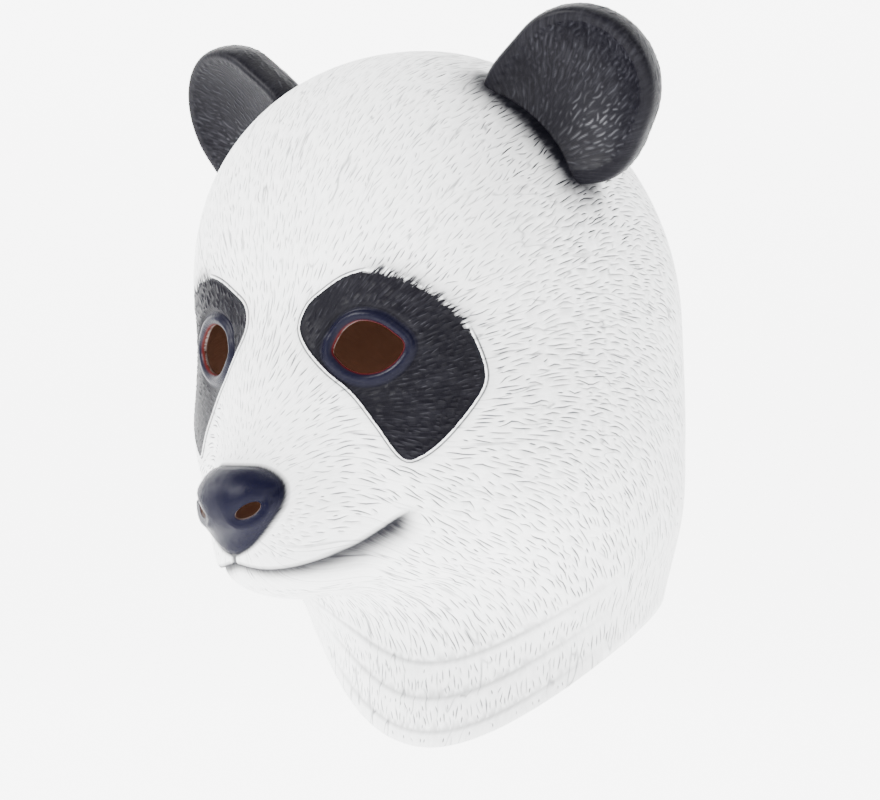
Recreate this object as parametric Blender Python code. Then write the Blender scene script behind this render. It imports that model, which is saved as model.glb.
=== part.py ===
# Panda mask: an over-the-head latex mask, hollow, open at the neck, with two cupped ears.
# Metres, +Z up, the face looks along -Y. The origin is inside the crown, where the mask sits on a head.

import math
from collections import namedtuple

import bpy
import numpy as np
from mathutils import Matrix, Vector

# Driving sizes of the head
WALL = 0.002
HEAD_WIDTH = 0.218
HEAD_DEPTH = 0.238
HEAD_HEIGHT = 0.268
NECK_RADIUS = 0.087
NECK_BACK = 0.041
NECK_TOP = 0.220
HEM_BACK_DROP = 0.260
HEM_FRONT_DROP = 0.338
HEM_TURN = 28.0

# Driving sizes of the face
MUZZLE_WIDTH = 0.076
MUZZLE_LENGTH = 0.086
MUZZLE_HEIGHT = 0.066
NOSE_WIDTH = 0.050
NOSE_LENGTH = 0.050
NOSE_HEIGHT = 0.040
EYE_SPREAD = 0.098
EYE_DROP = 0.1465
EYE_WIDTH = 0.0325
EYE_HEIGHT = 0.0240
EYE_TILT = 8.0
LID_ROLL = 0.0018
LID_PROUD = 0.0012
NOSTRIL_SPREAD = 0.031
NOSTRIL_DROP = 0.2215
NOSTRIL_WIDTH = 0.0140
NOSTRIL_HEIGHT = 0.0065
NOSTRIL_TILT = 30.0
MOUTH_WIDTH = 0.120
MOUTH_DROP = 0.2485
MOUTH_SMILE = 0.022
MOUTH_DEPTH = 0.0026
MOUTH_LIP = 0.0042

# Driving sizes of the neck bands
BAND_STEP = 0.0012
BAND_REACH = 34.0

# Driving sizes of an ear
EAR_RADIUS = 0.038
EAR_BODY = 0.030
EAR_BOWL = 0.012
EAR_SPREAD = 0.224
EAR_FORWARD = 0.033
EAR_DROP = 0.0270
EAR_LEAN = 40.0
EAR_SPLAY = 12.0
EAR_NOD = 20.0
EAR_SEAT_GAP = 0.0003

# How far the cutters of the openings reach to each side of the skin
CUT_DEPTH = 6 * WALL

# Where the rays that find the skin start, as shares of the head's depth and height, and how they are stepped
HEART_BACK = 0.05
HEART_DOWN = 0.66
STEEPEST_RAY = math.radians(172)
RAY_STEPS = 360
HALVINGS = 34

# Fineness of the facets
SKIN_COLUMNS = 48
SKIN_ROWS = 36
FRONT_CROWDING = 0.60
MOUTH_ROW = 25
FACE_CROWDING = 0.45
EAR_SIDES = 24
LID_STEPS = 24
ROLL_SIDES = 8
SLOT_STEPS = 16

# The rounded forms that the head is modelled from, joined with soft blends. Places are shares of the head's
# width, depth and height, measured from the crown. Half sizes and blends are shares of the named sizes.
Form = namedtuple("Form", "sizes across back down half_width half_depth half_height square blend")
FORM_SIZES = {
    "head": (HEAD_WIDTH, HEAD_DEPTH, HEAD_HEIGHT),
    "muzzle": (MUZZLE_WIDTH, MUZZLE_LENGTH, MUZZLE_HEIGHT),
    "nose": (NOSE_WIDTH, NOSE_LENGTH, NOSE_HEIGHT),
}
HEAD_FORMS = {
    "skull": Form("head", 0.00, 0.034, 0.513, 0.500, 0.500, 0.500, 2.35, 0.00),
    "forehead": Form("head", 0.00, -0.098, 0.375, 0.450, 0.370, 0.363, 2.60, 0.11),
    "cheeks": Form("head", 0.18, -0.075, 0.729, 0.318, 0.345, 0.246, 2.00, 0.156),
    "nape": Form("head", 0.00, 0.176, 0.785, 0.440, 0.370, 0.336, 2.20, 0.156),
    "muzzle_root": Form("muzzle", 0.00, -0.265, 0.781, 0.737, 0.628, 0.758, 2.00, 0.147),
    "muzzle": Form("muzzle", 0.00, -0.440, 0.826, 0.500, 0.500, 0.500, 2.00, 0.092),
    "bridge": Form("muzzle", 0.00, -0.378, 0.655, 0.420, 0.488, 0.697, 2.00, 0.110),
    "nose": Form("nose", 0.00, -0.550, 0.812, 0.500, 0.500, 0.500, 2.20, 0.018),
    "chin": Form("muzzle", 0.00, -0.435, 0.910, 0.400, 0.440, 0.300, 2.00, 0.064),
}
NECK_BLEND = 0.138
NECK_EDGE_BLEND = 0.138
HEM_SWEEP = 1.8

# The mouth, in shares of its half width: level up to one, then rising by a power, and fading out at its end.
# It is found on the columns within a turn of the front, and its row runs on round the back.
MOUTH_LEVEL = 0.3
MOUTH_BEND = 1.2
MOUTH_END = 1.06
MOUTH_FADE = 0.25
MOUTH_TURN = math.radians(50)
BACK_MOUTH_SHARE = 0.80

# The neck bands, from the hem up: height as a share of the front's neck height, and how far it stands out
Band = namedtuple("Band", "above proud")
NECK_BANDS = (
    Band(0.000, 0.7),
    Band(0.072, 1.0),
    Band(0.094, 0.0),
    Band(0.280, 1.0),
    Band(0.302, 0.0),
    Band(0.500, 1.0),
    Band(0.522, 0.0),
)

# An ear's section from the middle of the cup, over the rim, to the middle of the back
EarRing = namedtuple("EarRing", "out cup body")
EAR_SECTION = (
    EarRing(0.30, 0.95, 0.00),
    EarRing(0.60, 0.66, 0.00),
    EarRing(0.80, 0.16, 0.00),
    EarRing(0.90, 0.00, 0.00),
    EarRing(0.97, 0.00, 0.06),
    EarRing(1.00, 0.00, 0.20),
    EarRing(0.98, 0.00, 0.45),
    EarRing(0.88, 0.00, 0.70),
    EarRing(0.55, 0.00, 0.93),
)
EAR_ROUND = 80.0
EAR_ROOT = 1.40


def clear_scene():
    for obj in list(bpy.data.objects):
        bpy.data.objects.remove(obj, do_unlink=True)


def make_material(name, colour, roughness):
    material = bpy.data.materials.new(name)
    material.use_nodes = True
    shader = material.node_tree.nodes["Principled BSDF"]
    shader.inputs["Base Color"].default_value = (*colour, 1.0)
    shader.inputs["Roughness"].default_value = roughness
    shader.inputs["Metallic"].default_value = 0.0
    return material


def make_object(name, points, faces, material=None):
    mesh = bpy.data.meshes.new(name)
    mesh.from_pydata([tuple(point) for point in points], [], faces)
    mesh.validate()
    if material:
        mesh.materials.append(material)
    obj = bpy.data.objects.new(name, mesh)
    bpy.context.scene.collection.objects.link(obj)
    return obj


def make_cutter(name, points, faces):
    cutter = make_object(name, points, faces)
    cutter.hide_render = True
    cutter.display_type = "WIRE"
    return cutter


# Distance to the head's outer surface, negative inside


def distance_to_form(points, form):
    sizes = np.array(FORM_SIZES[form.sizes])
    centre = np.array((form.across, form.back, -form.down)) * FORM_SIZES["head"]
    radii = np.array((form.half_width, form.half_depth, form.half_height)) * sizes
    steps = np.abs((points - centre) / radii)
    plan = (steps[..., 0] ** form.square + steps[..., 1] ** form.square) ** (2 / form.square)
    reach = np.maximum(np.sqrt(plan + steps[..., 2] ** 2), 1e-6)
    return np.linalg.norm(points - centre, axis=-1) * (1 - 1 / reach)


def blend(first, second, width):
    """The lesser of two distances, with a soft fillet where they meet."""
    if width <= 0:
        return np.minimum(first, second)
    overlap = np.maximum(width - np.abs(first - second), 0) / width
    return np.minimum(first, second) - overlap**2 * width / 4


def distance_to_neck(points):
    side = np.hypot(points[..., 0], points[..., 1] - NECK_BACK) - NECK_RADIUS
    top = points[..., 2] + NECK_TOP
    return -blend(-side, -top, NECK_EDGE_BLEND * HEAD_WIDTH)


def distance_to_head(points):
    mirrored = points.copy()
    mirrored[..., 0] = np.abs(mirrored[..., 0])
    distance = None
    for form in HEAD_FORMS.values():
        added = distance_to_form(mirrored, form)
        distance = added if distance is None else blend(distance, added, form.blend * HEAD_WIDTH)
    return blend(distance, distance_to_neck(mirrored), NECK_BLEND * HEAD_WIDTH)


def normals_of_head(points):
    step = WALL / 10
    slopes = []
    for axis in range(3):
        shift = np.zeros(3)
        shift[axis] = step
        slopes.append(distance_to_head(points + shift) - distance_to_head(points - shift))
    normals = np.stack(slopes, axis=-1)
    return normals / np.linalg.norm(normals, axis=-1, keepdims=True)


def cast_to_skin(starts, directions, reach):
    """The points where rays from inside the head leave it, found by halving."""
    near = np.zeros(directions.shape[:-1])
    far = np.full(directions.shape[:-1], reach)
    for _ in range(HALVINGS):
        middle = (near + far) / 2
        inside = distance_to_head(starts + directions * middle[..., None]) < 0
        near = np.where(inside, middle, near)
        far = np.where(inside, far, middle)
    return starts + directions * near[..., None]


def point_on_face(across, drop):
    """The point of the skin straight ahead of the head's middle, at this height and this far to the side."""
    start = np.array((across, 0.0, -drop))
    return cast_to_skin(start, np.array((0.0, -1.0, 0.0)), HEAD_DEPTH)


# The skin: columns run from the crown to the hem, and rows go round


def hem_height(bearing):
    front = ((1 + math.cos(bearing - math.radians(HEM_TURN))) / 2) ** HEM_SWEEP
    return -HEM_BACK_DROP - (HEM_FRONT_DROP - HEM_BACK_DROP) * front


def mouth_drop(across):
    """How far below the crown the mouth runs: level in the middle, then rising to its corners."""
    out = max(0.0, min(1.0, abs(across) / (MOUTH_WIDTH / 2)) - MOUTH_LEVEL) / (1 - MOUTH_LEVEL)
    return MOUTH_DROP - MOUTH_SMILE * out**MOUTH_BEND


def row_stops(along, line, bearing):
    """How far down a column each row lies. One row follows the mouth, between two for its lips."""
    neck_height = HEM_FRONT_DROP - HEM_BACK_DROP
    bands = [along[-1] - band.above * neck_height for band in reversed(NECK_BANDS)]
    drops = [mouth_drop(point[0]) for point in line]
    crossed = np.nonzero((line[:, 2] < np.negative(drops)) & (along > along[-1] / 3))[0][0]
    behind = min(1.0, max(0.0, abs(bearing) - MOUTH_TURN) / MOUTH_TURN)
    mouth = along[crossed] * (1 - behind) + bands[0] * BACK_MOUTH_SHARE * behind
    share = np.arange(MOUTH_ROW) / MOUTH_ROW
    share = share * (1 - FACE_CROWDING) + (1 - (1 - share) ** 2) * FACE_CROWDING
    above = share * (mouth - MOUTH_LIP) / share[-1]
    below = np.linspace(mouth + MOUTH_LIP, bands[0], SKIN_ROWS - MOUTH_ROW)
    return np.concatenate((above, [mouth], below, bands[1:]))


def column_of_skin(bearing, tilts, heart):
    directions = np.stack(
        (
            np.sin(tilts) * math.sin(bearing),
            -np.sin(tilts) * math.cos(bearing),
            np.cos(tilts),
        ),
        axis=-1,
    )
    line = cast_to_skin(heart, directions, HEAD_HEIGHT + HEAD_DEPTH)
    hem = hem_height(bearing)
    end = np.nonzero((line[:, 2] < hem) & (tilts > math.pi / 2))[0][0]
    share = (hem - line[end - 1, 2]) / (line[end, 2] - line[end - 1, 2])
    line = np.vstack((line[:end], line[end - 1] + share * (line[end] - line[end - 1])))
    along = np.concatenate(([0.0], np.cumsum(np.linalg.norm(np.diff(line, axis=0), axis=1))))
    stops = row_stops(along, line, bearing)
    return np.stack([np.interp(stops, along, line[:, axis]) for axis in range(3)], axis=-1)


def skin_grid():
    """Outer points of the skin, as columns by rows, and the same grown by the ears' seat gap."""
    turns = (np.arange(SKIN_COLUMNS) / SKIN_COLUMNS) * math.tau - math.pi
    bearings = turns - FRONT_CROWDING * np.sin(turns)
    tilts = np.linspace(0, STEEPEST_RAY, RAY_STEPS)
    heart = np.array((0.0, HEART_BACK * HEAD_DEPTH, -HEART_DOWN * HEAD_HEIGHT))
    grid = np.array([column_of_skin(bearing, tilts, heart) for bearing in bearings])
    normals = normals_of_head(grid)
    seat = grid + normals * EAR_SEAT_GAP
    out = np.abs(grid[:, MOUTH_ROW, 0]) / (MOUTH_WIDTH / 2)
    depth = MOUTH_DEPTH * np.clip((MOUTH_END - out) / MOUTH_FADE, 0, 1) * (np.abs(bearings) < MOUTH_TURN)
    grid[:, MOUTH_ROW] -= normals[:, MOUTH_ROW] * depth[:, None]
    for step, band in enumerate(reversed(NECK_BANDS)):
        row = grid.shape[1] - len(NECK_BANDS) + step
        off_middle = np.abs(np.degrees(bearings) - HEM_TURN)
        off_middle = np.minimum(off_middle, 360 - off_middle)
        fade = np.clip(2 - off_middle / BAND_REACH, 0, 1)
        grid[:, row] += normals[:, row] * (band.proud * BAND_STEP * fade)[:, None]
    return grid, seat


def skin_faces(columns, rows):
    """Faces of the grid, whose first row is one point at the crown."""
    faces = []
    for column in range(columns):
        start = 1 + column * (rows - 1)
        after = 1 + (column + 1) % columns * (rows - 1)
        faces.append((0, start, after))
        faces += [(start + row, start + row + 1, after + row + 1, after + row) for row in range(rows - 2)]
    return faces


def flat_points(grid):
    crown = grid[:1, 0]
    return np.concatenate((crown, grid[:, 1:].reshape(-1, 3)))


# Cutters and added rolls, all set square to the skin


def frame_on_skin(point, tilt):
    """A frame at a point of the face: x along the opening's width, y up it, z out of the skin."""
    outward = Vector(normals_of_head(np.array(point)))
    side = Vector((0, 0, 1)).cross(outward).normalized()
    up = outward.cross(side)
    turned = Matrix.Rotation(math.radians(tilt), 3, outward)
    basis = Matrix((turned @ side, turned @ up, outward)).transposed().to_4x4()
    return Matrix.Translation(Vector(point)) @ basis


def oval(width, height, steps):
    return [
        (width / 2 * math.cos(turn), height / 2 * math.sin(turn))
        for turn in (math.tau * step / steps for step in range(steps))
    ]


def make_slot_cutter(name, frame, width, height, depth, steps):
    outline = oval(width, height, steps)
    points = [frame @ Vector((x, y, end)) for end in (-depth / 2, depth / 2) for x, y in outline]
    faces = [(step, (step + 1) % steps, steps + (step + 1) % steps, steps + step) for step in range(steps)]
    faces += [tuple(reversed(range(steps))), tuple(range(steps, 2 * steps))]
    return make_cutter(name, points, faces)


def make_ring(name, path, radius, outward):
    """A closed roll round a path. outward points off the skin."""
    points = []
    for step, point in enumerate(path):
        along = (path[(step + 1) % len(path)] - path[step - 1]).normalized()
        side = along.cross(outward).normalized()
        lift = side.cross(along)
        for turn in (math.tau * corner / ROLL_SIDES for corner in range(ROLL_SIDES)):
            points.append(point + (math.cos(turn) * side + math.sin(turn) * lift) * radius)
    faces = []
    for step in range(len(path)):
        here = step * ROLL_SIDES
        there = (step + 1) % len(path) * ROLL_SIDES
        for corner in range(ROLL_SIDES):
            after = (corner + 1) % ROLL_SIDES
            faces.append((here + corner, here + after, there + after, there + corner))
    return make_cutter(name, points, faces)


def add_boolean(obj, other, operation):
    cut = obj.modifiers.new(other.name, "BOOLEAN")
    cut.operation = operation
    cut.solver = "EXACT"
    cut.object = other


def add_eye(skin, side, name):
    """An eye hole and the rolled lid round it."""
    frame = frame_on_skin(point_on_face(side * EYE_SPREAD / 2, EYE_DROP), -side * EYE_TILT)
    width = EYE_WIDTH + 2 * LID_ROLL
    height = EYE_HEIGHT + 2 * LID_ROLL
    cutter = make_slot_cutter(f"{name}_hole", frame, width, height, 2 * CUT_DEPTH, LID_STEPS)
    add_boolean(skin, cutter, "DIFFERENCE")
    outward = frame.to_3x3() @ Vector((0, 0, 1))
    path = []
    for x, y in oval(width, height, LID_STEPS):
        start = frame @ Vector((x, y, -CUT_DEPTH))
        path.append(Vector(cast_to_skin(np.array(start), np.array(outward), 3 * CUT_DEPTH)))
    sunk = [point + outward * (LID_PROUD - LID_ROLL) for point in path]
    lid = make_ring(f"{name}_lid", sunk, LID_ROLL, outward)
    add_boolean(skin, lid, "UNION")


def add_nostril(skin, side, name):
    frame = frame_on_skin(point_on_face(side * NOSTRIL_SPREAD / 2, NOSTRIL_DROP), side * NOSTRIL_TILT)
    cutter = make_slot_cutter(f"{name}_hole", frame, NOSTRIL_WIDTH, NOSTRIL_HEIGHT, CUT_DEPTH, SLOT_STEPS)
    add_boolean(skin, cutter, "DIFFERENCE")


# Ears


def ear_outline(turn):
    """Round over the tip, then straight to a root wider than the round. turn is 0 across the ear."""
    off_tip = abs((turn - math.pi / 2 + math.pi) % math.tau - math.pi)
    past = max(0.0, off_tip - math.radians(EAR_ROUND))
    return 1 / math.cos(min(past, math.acos(1 / EAR_ROOT)))


def ear_frame(side):
    """The frame of an ear's cup: x across it, y to its tip, z out of the cup."""
    turn = Matrix.Rotation(math.radians(side * EAR_SPLAY), 4, "Z")
    turn = turn @ Matrix.Rotation(math.radians(90 + EAR_NOD), 4, "X")
    turn = turn @ Matrix.Rotation(math.radians(-side * EAR_LEAN), 4, "Z")
    return Matrix.Translation((side * EAR_SPREAD / 2, -EAR_FORWARD, -EAR_DROP)) @ turn


def make_ear(name, side, material, plug):
    frame = ear_frame(side)
    points = [frame @ Vector((0, 0, -EAR_BOWL))]
    for ring in EAR_SECTION:
        out = -EAR_BOWL * ring.cup - EAR_BODY * ring.body
        for step in range(EAR_SIDES):
            turn = math.tau * step / EAR_SIDES
            radius = EAR_RADIUS * ring.out * ear_outline(turn)
            points.append(frame @ Vector((radius * math.cos(turn), radius * math.sin(turn), out)))
    points.append(frame @ Vector((0, 0, -EAR_BODY)))
    faces = [(0, 1 + step, 1 + (step + 1) % EAR_SIDES) for step in range(EAR_SIDES)]
    for ring in range(len(EAR_SECTION) - 1):
        here = 1 + ring * EAR_SIDES
        there = here + EAR_SIDES
        for step in range(EAR_SIDES):
            after = (step + 1) % EAR_SIDES
            faces.append((here + step, there + step, there + after, here + after))
    last = 1 + (len(EAR_SECTION) - 1) * EAR_SIDES
    top = len(points) - 1
    faces += [(last + (step + 1) % EAR_SIDES, last + step, top) for step in range(EAR_SIDES)]
    ear = make_object(name, points, faces, material)
    add_wall(ear)
    add_boolean(ear, plug, "DIFFERENCE")
    ear.data.shade_smooth()
    return ear


def add_wall(obj):
    wall = obj.modifiers.new("wall", "SOLIDIFY")
    wall.thickness = WALL
    wall.offset = -1.0
    return wall


def main():
    clear_scene()
    white = make_material("white_latex", (0.86, 0.86, 0.86), 0.55)
    black = make_material("black_latex", (0.03, 0.03, 0.04), 0.45)

    grid, seat = skin_grid()
    columns, rows = grid.shape[:2]
    faces = skin_faces(columns, rows)
    skin = make_object("head_skin", flat_points(grid), faces, white)
    add_wall(skin)
    for side, name in ((1, "left"), (-1, "right")):
        add_eye(skin, side, f"eye_{name}")
        add_nostril(skin, side, f"nostril_{name}")
    skin.data.shade_smooth()

    hem = tuple(column * (rows - 1) + rows - 1 for column in range(columns))
    plug = make_cutter("ear_seat", flat_points(seat), faces + [hem])
    make_ear("ear_left", 1, black, plug)
    make_ear("ear_right", -1, black, plug)

    # Everything hangs from one empty, raised so that the inside of the crown is at the origin.
    mask = bpy.data.objects.new("mask", None)
    mask.location.z = WALL - grid[..., 2].max()
    bpy.context.scene.collection.objects.link(mask)
    for obj in bpy.data.objects:
        if obj != mask:
            obj.parent = mask


main()
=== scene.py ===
import math
import bpy
import numpy as np
from mathutils import Matrix, Vector
from mathutils.geometry import delaunay_2d_cdt
from mathutils.kdtree import KDTree


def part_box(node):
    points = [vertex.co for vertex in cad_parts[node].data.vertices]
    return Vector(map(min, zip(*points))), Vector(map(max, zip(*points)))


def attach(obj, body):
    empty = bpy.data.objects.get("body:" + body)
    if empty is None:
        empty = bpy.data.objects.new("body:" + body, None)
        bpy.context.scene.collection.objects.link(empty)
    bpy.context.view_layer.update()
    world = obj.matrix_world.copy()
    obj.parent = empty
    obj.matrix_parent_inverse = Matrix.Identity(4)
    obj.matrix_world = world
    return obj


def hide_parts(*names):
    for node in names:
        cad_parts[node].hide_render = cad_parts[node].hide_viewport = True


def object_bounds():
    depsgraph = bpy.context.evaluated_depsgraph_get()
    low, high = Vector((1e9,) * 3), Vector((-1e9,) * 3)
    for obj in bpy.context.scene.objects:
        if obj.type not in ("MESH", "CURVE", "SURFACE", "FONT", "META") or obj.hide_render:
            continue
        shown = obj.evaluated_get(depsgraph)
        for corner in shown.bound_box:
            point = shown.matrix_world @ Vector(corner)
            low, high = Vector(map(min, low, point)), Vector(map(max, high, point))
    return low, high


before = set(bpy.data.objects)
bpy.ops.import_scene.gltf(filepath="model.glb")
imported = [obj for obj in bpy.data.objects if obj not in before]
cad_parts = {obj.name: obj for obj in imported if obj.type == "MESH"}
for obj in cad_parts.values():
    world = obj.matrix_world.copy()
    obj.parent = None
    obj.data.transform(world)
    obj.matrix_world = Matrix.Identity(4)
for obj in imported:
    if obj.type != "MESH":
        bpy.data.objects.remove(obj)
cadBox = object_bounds()
dice = np.random.default_rng(11)
print("frame loaded")

# The form of the head: rounded masses run together, in metres below and behind the crown
headSizes = {
    "wall": 0.002,
    "width": 0.218, "depth": 0.238, "height": 0.268,
    "neckRadius": 0.087, "neckBack": 0.041, "neckTop": 0.220, "neckBlend": 0.138,
    "muzzle": (0.076, 0.086, 0.066), "nose": (0.050, 0.050, 0.040),
    "hemBackDrop": 0.260, "hemFrontDrop": 0.338, "hemTurn": 28.0, "hemSweep": 1.8,
}
headBlock = (headSizes["width"], headSizes["depth"], headSizes["height"])
# the block that the half sizes are shares of, place across, back and down, half sizes, squareness, blend
headMasses = {
    "skull": (headBlock, 0.00, 0.034, 0.513, 0.500, 0.500, 0.500, 2.35, 0.00),
    "forehead": (headBlock, 0.00, -0.098, 0.375, 0.450, 0.370, 0.363, 2.60, 0.11),
    "cheeks": (headBlock, 0.18, -0.075, 0.729, 0.318, 0.345, 0.246, 2.00, 0.156),
    "nape": (headBlock, 0.00, 0.176, 0.785, 0.440, 0.370, 0.336, 2.20, 0.156),
    "muzzleRoot": (headSizes["muzzle"], 0.00, -0.265, 0.781, 0.737, 0.628, 0.758, 2.00, 0.147),
    "muzzle": (headSizes["muzzle"], 0.00, -0.440, 0.826, 0.500, 0.500, 0.500, 2.00, 0.092),
    "bridge": (headSizes["muzzle"], 0.00, -0.378, 0.655, 0.420, 0.488, 0.697, 2.00, 0.110),
    "nose": (headSizes["nose"], 0.00, -0.550, 0.812, 0.500, 0.500, 0.500, 2.20, 0.018),
    "chin": (headSizes["muzzle"], 0.00, -0.435, 0.910, 0.400, 0.440, 0.300, 2.00, 0.064),
}


def smoothStep(low, high, value):
    share = np.clip((value - low) / (high - low), 0, 1)
    return share * share * (3 - 2 * share)


def softMin(first, second, width):
    if width <= 0:
        return np.minimum(first, second)
    overlap = np.maximum(width - np.abs(first - second), 0) / width
    return np.minimum(first, second) - overlap**2 * width / 4


def swell(gap, size):  # a rounded rise, or a groove, that runs beside a line
    height, out, width = size
    return height * np.exp(-((gap - out) / width) ** 2)


def unit(vectors):
    return vectors / np.maximum(np.linalg.norm(vectors, axis=-1, keepdims=True), 1e-15)


def alongSkin(vectors, outward):  # the direction left when the part out of the surface is taken off
    return unit(vectors - (vectors * outward).sum(-1, keepdims=True) * outward)


def between(net, rows, columns, rowShare, columnShare):  # places inside the cells of a net
    after = (rows + 1) % len(net)
    near = net[rows, columns] * (1 - columnShare) + net[rows, columns + 1] * columnShare
    far = net[after, columns] * (1 - columnShare) + net[after, columns + 1] * columnShare
    return near * (1 - rowShare) + far * rowShare


def massDistance(points, mass):
    block, across, back, down, halfWidth, halfDepth, halfHeight, square = mass[:8]
    centre = np.array((across, back, -down)) * headBlock
    steps = np.abs((points - centre) / (np.array((halfWidth, halfDepth, halfHeight)) * block))
    plan = (steps[..., 0] ** square + steps[..., 1] ** square) ** (2 / square)
    reach = np.maximum(np.sqrt(plan + steps[..., 2] ** 2), 1e-6)
    return np.linalg.norm(points - centre, axis=-1) * (1 - 1 / reach)


def headDistance(points):  # below nought inside the head
    half = points - (0, 0, lift)
    half[..., 0] = np.abs(half[..., 0])
    distance = None
    for mass in headMasses.values():
        added = massDistance(half, mass)
        distance = added if distance is None else softMin(distance, added, mass[8] * headSizes["width"])
    side = np.hypot(half[..., 0], half[..., 1] - headSizes["neckBack"]) - headSizes["neckRadius"]
    blend = headSizes["neckBlend"] * headSizes["width"]
    neck = -softMin(-side, -(half[..., 2] + headSizes["neckTop"]), blend)
    return softMin(distance, neck, blend)


def headSlope(points, step=0.0002):
    slopes = []
    for shift in np.eye(3) * step:
        slopes.append((headDistance(points + shift) - headDistance(points - shift)) / (2 * step))
    return np.stack(slopes, axis=-1)


def outwardOf(points):
    return unit(headSlope(points))


def ontoHead(points, rounds=3):  # the nearest points of the skin
    points = np.array(points, dtype=float)
    for _ in range(rounds):
        slope = headSlope(points)
        points = points - slope * (headDistance(points) / np.maximum((slope**2).sum(-1), 1e-6))[..., None]
    return points


def castOut(starts, directions, reach=0.5):  # where lines from inside leave the head
    near = np.zeros(np.broadcast(starts, directions).shape[:-1])
    far = near + reach
    for _ in range(30):
        middle = (near + far) / 2
        inside = headDistance(starts + directions * middle[..., None]) < 0
        near = np.where(inside, middle, near)
        far = np.where(inside, far, middle)
    return starts + directions * near[..., None]


# The middle that the skin is seen from, and the lift that puts the crown where the model has it
crownRows, crownColumns = (0.0, 0.02), np.linspace(-0.08, 0.12, 41)
heart = np.array((0.0, 0.05 * headSizes["depth"], -0.66 * headSizes["height"]))
lift = 0.0
crownLine = heart + np.array([(across, back, 0.0) for across in crownRows for back in crownColumns])
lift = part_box("head_skin")[1][2] - castOut(crownLine, np.array((0, 0, 1.0)))[:, 2].max()
heart = heart + (0, 0, lift)
print("head form ready, lifted", round(lift * 1000, 2), "mm")


def hemHeight(points):
    bearing = np.arctan2(points[..., 0], heart[1] - points[..., 1])
    front = ((1 + np.cos(bearing - math.radians(headSizes["hemTurn"]))) / 2) ** headSizes["hemSweep"]
    rise = headSizes["hemFrontDrop"] - headSizes["hemBackDrop"]
    return lift - headSizes["hemBackDrop"] - rise * front


# Which way the fur is combed: along lines that leave the nose, arch over the head and fall behind it
combing = {
    "turnBack": -0.015, "turnDrop": 0.300, "noseBack": -0.150, "noseDrop": 0.215,
    "evenRadius": 0.100, "stretch": 6,
}


def overSpine(points):
    turn = np.array((0.0, combing["turnBack"], lift - combing["turnDrop"]))
    nose = np.array((0.0, combing["noseBack"], lift - combing["noseDrop"]))
    offset = (points - turn)[..., 1:]
    toward = np.zeros(points.shape)
    toward[..., 1:] = unit(offset)
    return np.linalg.norm(offset, axis=-1) - np.linalg.norm(nose - turn), toward


def combDirection(points, outward):
    above, toward = overSpine(points)
    turning = -points[..., :1] * toward
    turning[..., 0] += above
    return unit(np.cross(outward, turning))


def combPlace(points):  # a pattern's coordinates, long along the fur and close across it
    turn = np.arctan2(points[..., 0], overSpine(points)[0])
    ring = np.stack((np.cos(turn), np.sin(turn), 0 * turn), axis=-1) * combing["evenRadius"]
    return ring + points / combing["stretch"]


print("combing ready")

# Feature lines of the face, charted in millimetres: across and up, from the middle of each feature.
# A rise or groove beside a line is its height, how far out of the line it runs, and its half width.
eyeShape = {
    "across": 0.049, "drop": 0.1465,
    "hole": ((-17.2, -1.9), (-14.6, 4.6), (-10.2, 9.2), (-3.2, 11.7), (5.0, 10.4), (11.5, 6.4), (17.0, 0.6),
             (13.4, -6.5), (6.2, -11.2), (-2.3, -12.4), (-9.7, -10.1), (-14.6, -6.0)),
    "patch": ((-33.8, 9.5), (-30.4, 19.0), (-22.0, 25.6), (-10.0, 32.2), (4.0, 34.8), (18.0, 31.4),
              (31.0, 23.6), (41.0, 13.2), (47.6, 0.0), (51.3, -14.8), (47.2, -26.2), (36.0, -41.2),
              (25.0, -50.0), (16.5, -50.6), (5.0, -36.0), (-7.0, -21.5), (-20.0, -10.6), (-30.0, 0.5)),
    "lidWidth": 5.4, "lidRise": 1.7, "crease": (-1.1, 5.8, 1.0), "brow": (0.7, 9.0, 2.6),
    "duct": (1.0, 0.0, 2.4), "ductPlace": (-21.0, 3.6),
    "welt": (0.55, 0.35, 0.42), "weltGroove": (-0.35, 1.2, 0.45), "featherFrom": 18.0, "featherTo": 98.0,
}
noseShape = {
    "drop": 0.2215,
    "outline": ((0.0, 20.2), (7.0, 20.2), (13.6, 19.6), (19.6, 16.7), (23.8, 11.9), (25.2, 5.2), (23.2, -1.5),
                (17.8, -8.8), (10.4, -15.8), (4.0, -19.4), (0.0, -20.2)),
    "nostrilAcross": 0.0155, "nostril": (14.0, 6.5), "nostrilTilt": 30.0,
    "rise": 1.0, "seam": (-0.5, 0.5, 0.7), "dip": (-1.5, 0.0, 2.2),
    "wing": (0.7, 3.0, 1.1), "trail": (-0.8, 0.4, 1.0),
}
mouthShape = {
    "line": ((0.0, 246.6), (4.0, 247.2), (9.4, 248.5), (16.5, 249.0), (24.4, 247.7), (31.1, 244.8),
             (36.9, 240.5), (45.3, 234.4), (58.6, 225.2), (70.0, 219.0)),
    "half": 60.0, "depth": 2.4, "hollow": 3.4, "lip": (0.5, 2.0, 1.9), "philtrum": (-1.2, 0.0, 1.0),
}
bandShape = {  # heights above the hem, and how far out of the neck each stands
    "heights": (0.0, 5.6, 7.3, 21.8, 23.5, 39.0, 40.7), "rises": (0.7, 1.0, 0.0, 1.1, 0.0, 1.1, 0.0),
    "reach": 36.0,
}
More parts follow.
